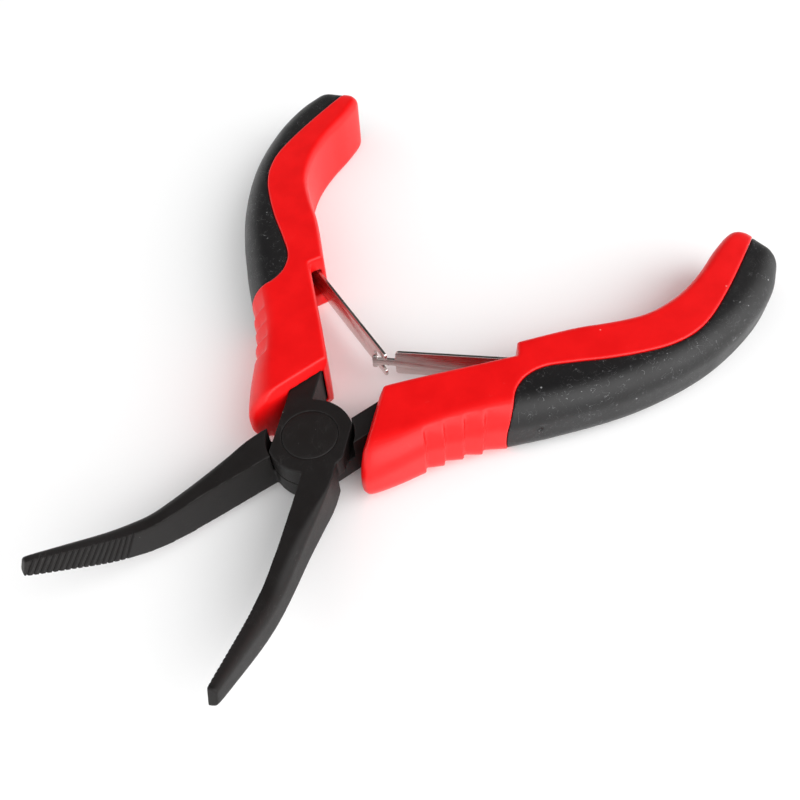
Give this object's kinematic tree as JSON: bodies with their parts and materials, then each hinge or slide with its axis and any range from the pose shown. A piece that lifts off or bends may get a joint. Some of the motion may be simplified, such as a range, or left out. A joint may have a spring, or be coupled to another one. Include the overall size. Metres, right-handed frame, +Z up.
{
  "type": "bent needle nose pliers",
  "caption": "Spring-opened mini pliers with bent tapering serrated jaws, a lapped riveted joint and curved two-material grips.",
  "frame": {"origin": "on the surface the tool lies on, under the middle of its bounding box at rest", "axes": "+X from the jaws to the handles along the centreline, +Y towards the left grip, +Z up along the pivot axis"},
  "size_m": [0.1186, 0.1058, 0.0202],
  "materials": {
    "blackened_steel": "blackened forged steel, satin, fine speckle and light scratches",
    "rivet_steel": "blackened steel, ground flush",
    "hard_shell": "moulded hard plastic, satin gloss",
    "soft_overlay": "fine grained soft overmould",
    "spring_steel": "bright rolled strip"
  },
  "bodies": {
    "upper_half": {"upper_forging": "blackened_steel", "pivot_rivet": "rivet_steel", "left_grip_shell": "hard_shell", "left_grip_overlay": "soft_overlay"},
    "lower_half": {"lower_forging": "blackened_steel", "right_grip_shell": "hard_shell", "right_grip_overlay": "soft_overlay"},
    "left_leaf": {"left_leaf_spring": "spring_steel"},
    "right_leaf": {"right_leaf_spring": "spring_steel"}
  },
  "joints": [
    {"name": "pivot", "type": "hinge", "parent": "upper_half", "child": "lower_half", "pos_m": [-0.0176, 0, 0.0063], "axis": [0, 0, 1], "range_deg": [-4, 42], "stiffness_Nm_per_rad": 0.3},
    {"name": "left_leaf_bend", "type": "hinge", "parent": "upper_half", "child": "left_leaf", "pos_m": [0.01476, 0.02313, 0.0063], "axis": [0, 0, 1], "range_deg": [-20.6, 2.1]},
    {"name": "right_leaf_bend", "type": "hinge", "parent": "lower_half", "child": "right_leaf", "pos_m": [0.01476, -0.02313, 0.0063], "axis": [0, 0, 1], "range_deg": [-2.1, 20.6]}
  ],
  "couplings": [
    {"joint": "left_leaf_bend", "follows": "pivot", "ratio": -0.4881},
    {"joint": "right_leaf_bend", "follows": "pivot", "ratio": 0.4881}
  ]
}
